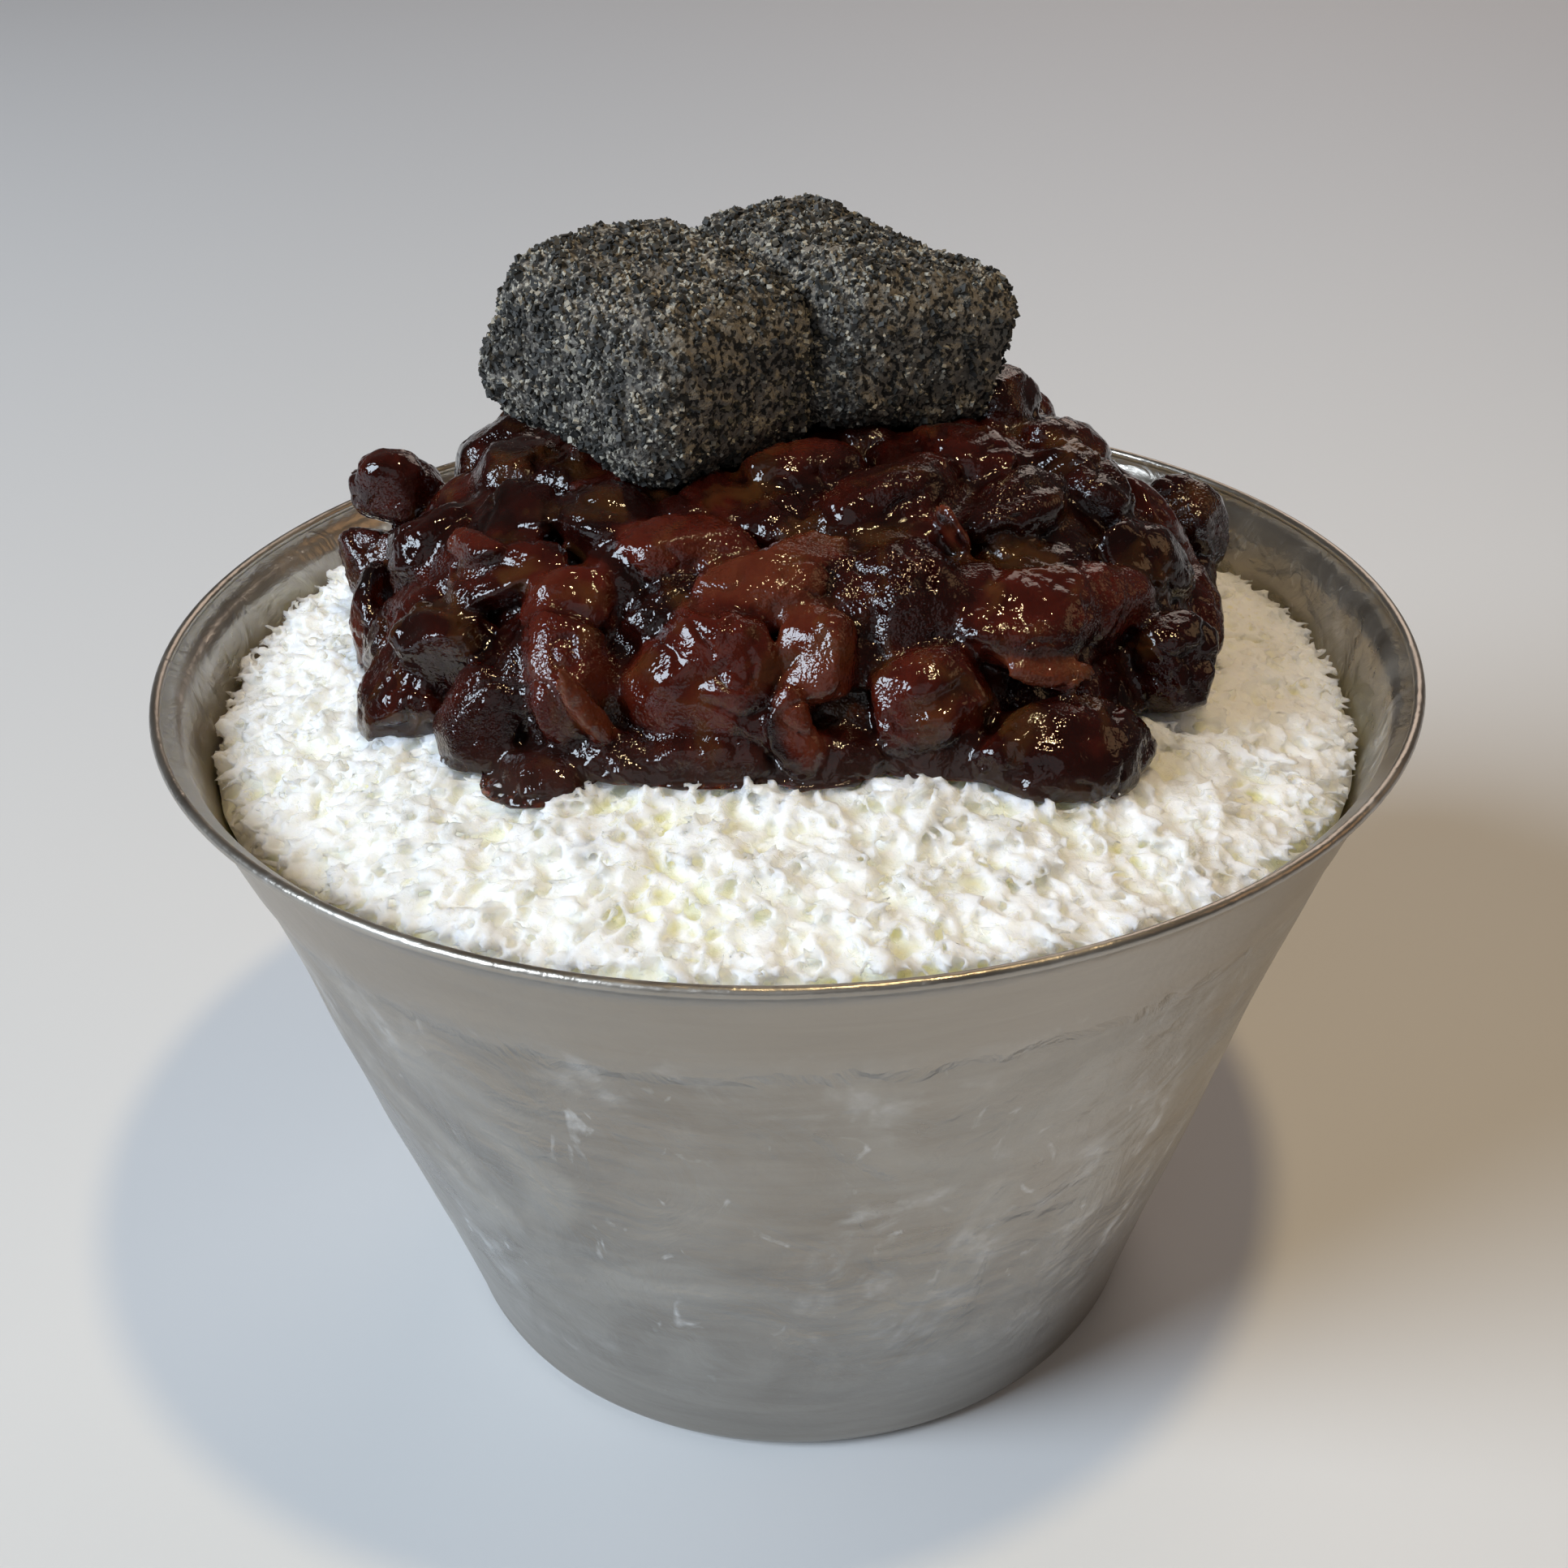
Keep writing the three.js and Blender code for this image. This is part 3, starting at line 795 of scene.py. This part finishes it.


# every point takes the tone of the bean that it lies on; a near-black painted shade darkens the
# creases between beans and the hollows
def setBeanTones(mesh, places):
    points, edges = pointsOf(mesh), edgesOf(mesh)
    nearest = np.full(len(points), 1e9)
    tone = np.zeros(len(points))
    for place in places:
        axes = np.array(place["axes"])
        local = (points - np.array(place["middle"])) @ axes.T / (np.array(place["size"]) / 2)
        reach = np.linalg.norm(local, axis=1)
        tone = np.where(reach < nearest, place["tone"], tone)
        nearest = np.minimum(nearest, reach)
    # painted shade: dark away from every bean and in the hollows between them
    paintedCreaseShade = np.clip((nearest - 1.12) / 0.3, 0, 1)
    paintedCreaseShade = np.maximum(paintedCreaseShade, hollowness(mesh, 16, 0.4))
    foot = points[:, 2] - iceLevels(points)
    values = np.stack([tone, paintedCreaseShade, np.clip(1 - foot / 3.2, 0, 1)], axis=1)
    for _ in range(2):
        values = 0.4 * values + 0.6 * neighbourMean(values, edges)
    for column, label in enumerate(("tone", "paintedCreaseShade", "foot")):
        setValues(mesh, label, values[:, column])


# grainy translucent skins that glisten with syrup
def beansFinish():
    finish, tree, shader = newFinish("bean_syrup", {
        "Roughness": 0.04, "IOR": 1.47, "Subsurface Weight": 0.35, "Subsurface Scale": 0.0014,
        "Subsurface Radius": (1.0, 0.25, 0.12)})
    place = objectPlace(tree)
    tone = attributeValue(tree, "tone")
    paintedCreaseShade = attributeValue(tree, "paintedCreaseShade")
    foot = attributeValue(tree, "foot")
    cloud = mottle(tree, place, 260, 0.3, 0.7, 4, 0.4)
    uneven = times(tree, reckon(tree, "SUBTRACT", cloud, 0.5), 0.3)
    ramp = addNode(tree, "ShaderNodeValToRGB", {0: reckon(tree, "ADD", tone, uneven)})
    stops = ramp.color_ramp.elements
    stops.remove(stops[1])
    for index, (position, shade) in enumerate(mound["skins"]):
        stop = stops.new(position) if index else stops[0]
        stop.color = colour(shade)
    amber = mottle(tree, place, 190, 0.56, 0.7, 2, 0.5)
    skin = mixColours(tree, times(tree, amber, 0.5), ramp.outputs[0], colour(mound["amber"]))
    # painted shade in the creases and hollows
    skin = mixColours(tree, paintedCreaseShade, skin, colour(mound["paintedCreaseTone"]))
    film = times(tree, foot, remap(tree, cloud, 0, 1, 0.5, 1.0))
    skin = mixColours(tree, film, skin, colour(mound["film"]))
    tree.links.new(skin, shader.inputs["Base Color"])
    grains = mottle(tree, place, 2900, 0.3, 0.7, 1)
    grainy = remap(tree, mottle(tree, place, 130, 0.42, 0.6, 2), 0, 1, 0.15, 1.0)
    relief = times(tree, grains, times(tree, grainy, remap(tree, foot, 0, 0.6, 1, 0.2)))
    folds = addRelief(tree, shader, mottle(tree, place, 1000, 0.35, 0.65, 2, 1.2), 0.4, 0.06)
    addRelief(tree, shader, relief, 0.8, 0.07, folds)
    return finish


addPiece("sweet_red_beans", makeBeans(), beansFinish(), ["red_beans"])


# 1 where the ice is loose and feathery, 0 where it is wet and laced together
def fluffAt(azimuth):
    return max(0, math.cos(azimuth - ice["fluffAt"] * degree)) ** 1.5


# the ice lies in clumps with hollows between them
def clumpAt(x, y):
    return ice["clumpRise"] * noise.noise(Vector((x, y, 30)) / ice["clumpSize"])


# a bent shred of ice with blunt ends
def makeShred(seed):
    bm = bmesh.new()
    bmesh.ops.create_icosphere(bm, subdivisions=2, radius=0.5)
    shift = Vector((seed * 5.1, seed * 2.3, seed * 7.9))
    for vert in bm.verts:
        x, y, z = vert.co
        blunt = 0.5 * math.sqrt(max(0, 1 - (2 * x) ** 6)) / max(0.05, math.hypot(y, z))
        thick = blunt * (1 + 0.45 * noise.noise(Vector((x * 4, 4, 4)) + shift))
        bendY = 1.5 * noise.noise(Vector((x * 2.2, 0, 0)) + shift)
        bendZ = 0.8 * noise.noise(Vector((x * 2.6, 9, 0)) + shift)
        vert.co = (x, y * thick + bendY, z * thick + bendZ)
    return meshFrom(bm, "shred")


# shreds lie on the dome, most of them pointing outwards, and are frozen together
def scatterShreds():
    random = seededRandom(77)
    turns, places = [], []
    for _ in range(ice["shreds"]):
        azimuth = random() * 2 * math.pi
        inside = moundEdge(azimuth) - ice["underMound"]
        outside = innerRadius(bowl["height"] - iceEdgeDrop(azimuth)) - 1.2
        radius = math.sqrt(between((inside ** 2, outside ** 2), random()))
        fluff = fluffAt(azimuth)
        length = between(ice["shredLength"], random() ** 1.5) * (1 - 0.4 * fluff)
        thick = between(ice["shredThickness"], random()) * (1 - 0.1 * fluff)
        heading = azimuth + (random() - 0.5) * 2.4
        pitch = (random() - 0.45) * (0.35 + 0.6 * fluff + (0.7 if random() < 0.15 else 0))
        turn = Matrix.Rotation(heading, 3, "Z") @ Matrix.Rotation(-pitch, 3, "Y")
        turn = turn @ Matrix.Rotation((random() - 0.5) * 1.6, 3, "X")
        turns.append(turn @ Matrix.Diagonal((length, thick, thick * (0.6 + 0.4 * random()))))
        reach = min(radius, outside + 0.8 - 0.5 * length * abs(math.cos(heading - azimuth)))
        x, y = reach * math.cos(azimuth), reach * math.sin(azimuth)
        places.append((x, y, iceLevel(x, y) - 0.9 + 1.25 * random() + clumpAt(x, y)))
    templates = [makeShred(seed) for seed in range(9)]
    return joinCopies(templates, np.array(turns), np.array(places), "shreds")


def makeIceBody():
    shares = [0, 0.3, 0.55, 0.62, 0.68, 0.73, 0.78, 0.83, 0.88, 0.92, 0.96, 1.0]
    profile = [(share, 1) for share in shares] + [(1.0, 0), (0, 0)]
    bm = spinProfile(profile, ice["sides"])
    for vert in bm.verts:
        share, azimuth = math.hypot(vert.co.x, vert.co.y), math.atan2(vert.co.y, vert.co.x)
        edgeLevel = bowl["height"] - iceEdgeDrop(azimuth)
        radius = (innerRadius(edgeLevel if vert.co.z > 0.5 else ice["lowest"]) - 2 * gap) * share
        x, y = radius * math.cos(azimuth), radius * math.sin(azimuth)
        if vert.co.z > 0.5:
            rough = 0.9 * clumpAt(x, y) - (1.2 if share > 0.99 else 0)
            vert.co = (x, y, iceLevel(x, y) - 0.65 + rough)
        else:
            vert.co = (x, y, ice["lowest"])
    return meshFrom(bm, "ice_body")


# packed ice below the loose top, down to the bowl's floor
def makeIceBelow():
    floor, top = bowl["sheet"] + gap, ice["lowest"] + 1
    profile = [(0, floor), (innerRadius(floor) - 2.4, floor)]
    profile += [(innerRadius(level) - 1, level) for level in np.linspace(floor + 2, top, 12)]
    return meshFrom(spinProfile(profile + [(0, top)], ice["sides"]), "ice_below")


def makeIce():
    voxel = ice["voxel"] * 1
    mesh = outerSkin(wrapVoxels([makeIceBody(), scatterShreds()], voxel, "ice"))
    smoothPoints(mesh, 0.5)
    hidden = []
    for x, y, z in pointsOf(mesh):
        covered = math.hypot(x, y) < moundEdge(math.atan2(y, x)) - ice["underMound"]
        hidden.append(covered or z < iceLevel(x, y) - 3.5)
    bm = bmesh.new()
    bm.from_mesh(thinOut(mesh, np.array(hidden), ice["triangles"]))
    bm.from_mesh(makeIceBelow())
    return finishIce(meshFrom(bm, "ice"))


# keeps the ice off the bowl's wall and marks its pits, where a shade is painted, and where the
# syrup wets it
def finishIce(mesh):
    points = pointsOf(mesh)
    limit = np.array([innerRadius(min(z, bowl["height"] - 1)) for z in points[:, 2]]) - gap
    radius = np.hypot(points[:, 0], points[:, 1])
    inward = np.minimum(1, limit / np.maximum(radius, 1e-6))
    points[:, :2] *= inward[:, None]
    movePoints(mesh, points)
    levels = iceLevels(points)
    azimuths = np.arctan2(points[:, 1], points[:, 0])
    fluff = np.array([fluffAt(azimuth) for azimuth in azimuths])
    edge = np.array([moundEdge(azimuth) for azimuth in azimuths])
    setValues(mesh, "pit", np.clip((levels - 0.1 - points[:, 2]) / 0.9, 0, 1) * (1 - 0.5 * fluff))
    setValues(mesh, "wet", np.clip(1 - (radius - edge) / 5, 0, 1))
    return mesh


def iceFinish():
    finish, tree, shader = newFinish("milk_ice", {
        "Roughness": 0.5, "Subsurface Weight": 1.0, "Subsurface Scale": 0.0028,
        "Subsurface Radius": (1.0, 0.95, 0.8), "IOR": 1.31})
    place = objectPlace(tree)
    pit = attributeValue(tree, "pit")
    wet = attributeValue(tree, "wet")
    cloud = mottle(tree, place, 160, 0.3, 0.7, 3)
    patch = mottle(tree, place, 85, 0.44, 0.62, 3, 0.5)
    pits = times(tree, pit, remap(tree, cloud, 0, 1, 0.6, 1.0))
    pits = times(tree, pits, remap(tree, patch, 0, 1, 0.3, 1.0))
    holes = times(tree, mottle(tree, place, 900, 0.57, 0.72, 3, 1.4),
                  remap(tree, patch, 0, 1, 0.2, 1.0))
    # painted shade, tinted yellow, in the pits and the small holes
    paintedPitShade = reckon(tree, "MAXIMUM", pits, times(tree, holes, 0.8))
    tone = mixColours(tree, paintedPitShade, colour(ice["milk"]), colour(ice["paintedPitShadeTone"]))
    tree.links.new(tone, shader.inputs["Base Color"])
    tree.links.new(remap(tree, wet, 0, 1, 0.5, 0.2), shader.inputs["Roughness"])
    crystals = mottle(tree, place, 2400, 0.3, 0.7, 3)
    sunk = addRelief(tree, shader, reckon(tree, "SUBTRACT", 1, holes), 0.8, 0.45)
    addRelief(tree, shader, crystals, 0.4, 0.15, sunk)
    return finish


addPiece("milk_ice", makeIce(), iceFinish(), ["shaved_ice"])


# a point of the rounded, uneven block in the given direction, each part from -1 to 1
def cakePoint(cake, direction):
    half = Vector(cake["size"]) / 2
    point = Vector([direction[axis] * half[axis] for axis in range(3)])
    limit = half - Vector((cake["round"],) * 3)
    core = Vector([max(-limit[axis], min(limit[axis], point[axis])) for axis in range(3)])
    outward = (point - core).normalized()
    lump = noise.noise(core / 9 + Vector((cake["seed"] * 3.7, 0, 0)))
    point = core + outward * (cake["round"] + 0.9 * lump)
    peakX, peakY, rise = cake["peak"]
    fromPeak = math.hypot(point.x - peakX, point.y - peakY)
    point.z += rise * math.exp(-fromPeak ** 2 / 18) * (point.z > 0)
    narrow = 1 - cake["taper"] * (point.z / half.z)
    return Vector(((point.x + cake["skew"] * point.y) * narrow, point.y * narrow, point.z))


# crushed sesame: flat chips stuck to the cakes at every angle, in patches, fewer on the
# smooth cut faces; tones are (low, high), relief is (depth, size of a lump)
crumb = {
    "dark": {"count": 15000, "size": (0.3, 0.75), "onCut": 0.2, "seed": 4,
             "tones": ((0.011, 0.011, 0.01), (0.055, 0.053, 0.048))},
    "pale": {"count": 10000, "size": (0.2, 0.6), "onCut": 0.12, "seed": 9,
             "tones": ((0.13, 0.12, 0.1), (0.47, 0.435, 0.36))},
    "crust": ((0.02, 0.018, 0.016), (0.2, 0.18, 0.155)),
    "cutFace": ((0.2, 0.175, 0.142), (0.02, 0.018, 0.015)),
    "paleDust": (0.5, 0.46, 0.38), "darkDust": (0.03, 0.027, 0.025),
    "cutFacing": (0.62, -0.75, 0.1), "relief": ((0.42, 1.7), (0.26, 0.6)),
}


# 1 on the smooth cut faces that look to the right, 0 on the rest
def cutShare(normals):
    return np.clip((normals @ np.array(crumb["cutFacing"]) - 0.62) / 0.25, 0, 1)


def makeCake(cake, cuts):
    bm = bmesh.new()
    bmesh.ops.create_cube(bm, size=2)
    bmesh.ops.subdivide_edges(bm, edges=bm.edges, cuts=cuts, use_grid_fill=True)
    for vert in bm.verts:
        vert.co = cakePoint(cake, vert.co)
    bm.normal_update()
    shift = Vector((cake["seed"] * 11.0, 0, 0))
    moved = []
    for vert in bm.verts:
        push = sum(depth * noise.noise(vert.co / size + shift) for depth, size in crumb["relief"])
        moved.append(vert.co + vert.normal * push)
    for vert, spot in zip(bm.verts, moved):
        vert.co = spot
    bm.transform(cakePlacement(cake))
    bmesh.ops.recalc_face_normals(bm, faces=bm.faces)
    mesh = meshFrom(bm, "cake")
    facing = neighbourMean(neighbourMean(normalsOf(mesh), edgesOf(mesh)), edgesOf(mesh))
    setValues(mesh, "cut", cutShare(facing))
    return mesh


def cakeFinish():
    finish, tree, shader = newFinish("sesame_powder", {"Roughness": 0.85, "IOR": 1.4})
    place = objectPlace(tree)
    cut = attributeValue(tree, "cut")
    coarse = mottle(tree, place, 1900, 0.42, 0.58, 3)
    pale = mottle(tree, place, 2600, 0.58, 0.66, 1)
    specks = mottle(tree, place, 1700, 0.5, 0.56, 2)
    patch = mottle(tree, place, 170, 0.4, 0.6, 3)
    crusted = mixColours(tree, coarse, *(colour(tone) for tone in crumb["crust"]))
    crusted = mixColours(tree, times(tree, pale, 0.8), crusted, colour(crumb["paleDust"]))
    crusted = mixColours(tree, times(tree, patch, 0.5), crusted, colour(crumb["darkDust"]))
    smooth = mixColours(tree, specks, *(colour(tone) for tone in crumb["cutFace"]))
    tone = mixColours(tree, cut, crusted, smooth)
    tree.links.new(tone, shader.inputs["Base Color"])
    addRelief(tree, shader, coarse, 0.7, 0.22)
    return finish


def makeChip(seed):
    bm = bmesh.new()
    bmesh.ops.create_cube(bm, size=1)
    for vert in bm.verts:
        vert.co += 0.3 * noise.noise_vector(vert.co * 1.3 + Vector((seed * 3.0, 0, 0)))
    return meshFrom(bm, "chip")


def scatterGrains(cakes, kind):
    draws = np.random.default_rng(kind["seed"])
    spots, normals = [], []
    for cake in cakes:
        here, outward = spreadOver(cake, kind["count"] // len(cakes), draws)
        patchy = noiseAt(here, 2.2, (kind["seed"], 0, 0))
        thin = 1 - cutShare(outward) * (1 - kind["onCut"])
        kept = draws.random(len(here)) < thin * np.clip(0.75 + 1.3 * patchy, 0.15, 1)
        spots.append(here[kept])
        normals.append(outward[kept])
    spots, normals = np.concatenate(spots), np.concatenate(normals)
    length = between(kind["size"], draws.random(len(spots)) ** 1.6)
    sizes = length[:, None] * np.stack([np.ones(len(spots)), 0.55 + 0.35 * draws.random(len(spots)),
                                        0.3 + 0.4 * draws.random(len(spots))], axis=1)
    lift = (0.25 * draws.random(len(spots)) - 0.06)[:, None]
    chips = [makeChip(seed) for seed in range(5)]
    return joinCopies(chips, looseTurns(draws, sizes), spots + normals * lift, "grains",
                      draws.random(len(spots)))


def grainFinish(name, tones):
    low, high = (colour(tone) for tone in tones)
    finish, tree, shader = newFinish(name, {"Roughness": 0.6, "IOR": 1.45})
    shade = attributeValue(tree, "shade")
    speck = mottle(tree, objectPlace(tree), 3000, 0.3, 0.7, 2)
    tone = mixColours(tree, shade, low, high)
    tone = mixColours(tree, times(tree, speck, 0.3), tone, low)
    tree.links.new(tone, shader.inputs["Base Color"])
    return finish


cakeCuts = 72
powder = cakeFinish()
cakes = [makeCake(leftCake, cakeCuts), makeCake(rightCake, cakeCuts)]
darkGrains = scatterGrains(cakes, crumb["dark"])
paleGrains = scatterGrains(cakes, crumb["pale"])
addPiece("rice_cake_a", cakes[0], powder, ["rice_cake_left"])
addPiece("rice_cake_b", cakes[1], powder, ["rice_cake_right"])
addPiece("sesame_dark", darkGrains, grainFinish("dark_sesame", crumb["dark"]["tones"]),
         smooth=False)
addPiece("sesame_pale", paleGrains, grainFinish("pale_sesame", crumb["pale"]["tones"]),
         smooth=False)

# the room; each light has the direction it comes from, its distance and size in metres,
# its brightness and its tint
room = {
    "floor": (0.745, 0.745, 0.745), "air": (0.072, 0.066, 0.062), "aimHeight": 0.07,
    "lights": {
        "sideWindow": ((-0.8, -0.4, 0.58), 1.8, 0.96, 16.8, (0.75, 0.87, 1.0)),
        "lamp": ((0.17, -0.19, 0.967), 0.46, 0.034, 250, (1.0, 0.76, 0.42)),
        "frontRoom": ((-0.1, -0.9, 0.5), 1.8, 1.4, 0.4, (0.93, 0.96, 1.0)),
        "wallGlow": ((0.9, 0.1, 0.5), 1.8, 0.8, 1, (1.0, 0.61, 0.32)),
        "backWall": ((0.25, 0.85, 0.55), 1.8, 1.1, 1.6, (1.0, 0.84, 0.74)),
    },
}


def addStage():
    bm = bmesh.new()
    bmesh.ops.create_grid(bm, x_segments=1, y_segments=1, size=3)
    floor = addObject("floor", meshFrom(bm, "floor"))
    paint = newFinish("floor_paint", {"Base Color": colour(room["floor"]), "Roughness": 0.55})
    floor.data.materials.append(paint[0])


def addSoftLight(name, direction, reach, size, brightness, tint):
    place = Vector(direction).normalized() * reach + Vector((0, 0, room["aimHeight"]))
    light = bpy.data.lights.new(name, "AREA")
    light.shape, light.size, light.color = "DISK", size, tint
    light.energy = brightness * (math.pi * size / 2) ** 2
    holder = addObject(name, light)
    holder.location = place
    holder.rotation_euler = Vector(direction).to_track_quat("Z", "Y").to_euler()


def addLights():
    for name, settings in room["lights"].items():
        addSoftLight(name, *settings)
    world = bpy.data.worlds.new("room")
    world.use_nodes = True
    world.node_tree.nodes["Background"].inputs["Color"].default_value = colour(room["air"])
    bpy.context.scene.world = world
    bpy.context.scene.view_settings.view_transform = "Standard"


# the camera: angles in degrees, focal length and frame in pixels, sensor and place in
# millimetres
view = {"elevation": 30.472, "roll": -1.381, "focal": 2400, "frame": 1932, "sensor": 36,
        "place": (-0.459, -171.901, 156.864)}


def addCamera():
    elevation, roll = view["elevation"] * degree, view["roll"] * degree
    forward = Vector((0, math.cos(elevation), -math.sin(elevation)))
    level = Vector((1, 0, 0))
    above = level.cross(forward)
    right = math.cos(roll) * level + math.sin(roll) * above
    up = math.cos(roll) * above - math.sin(roll) * level
    lens = bpy.data.cameras.new("camera")
    lens.sensor_width = view["sensor"]
    lens.lens = view["focal"] / view["frame"] * view["sensor"]
    camera = addObject("camera", lens)
    axes = Matrix((right, up, -forward)).transposed().to_4x4()
    camera.matrix_world = Matrix.Translation(Vector(view["place"]) * metresPerMillimetre) @ axes
    bpy.context.scene.camera = camera


addStage()
addLights()
addCamera()
print("floor,", len(room["lights"]), "lights and camera")
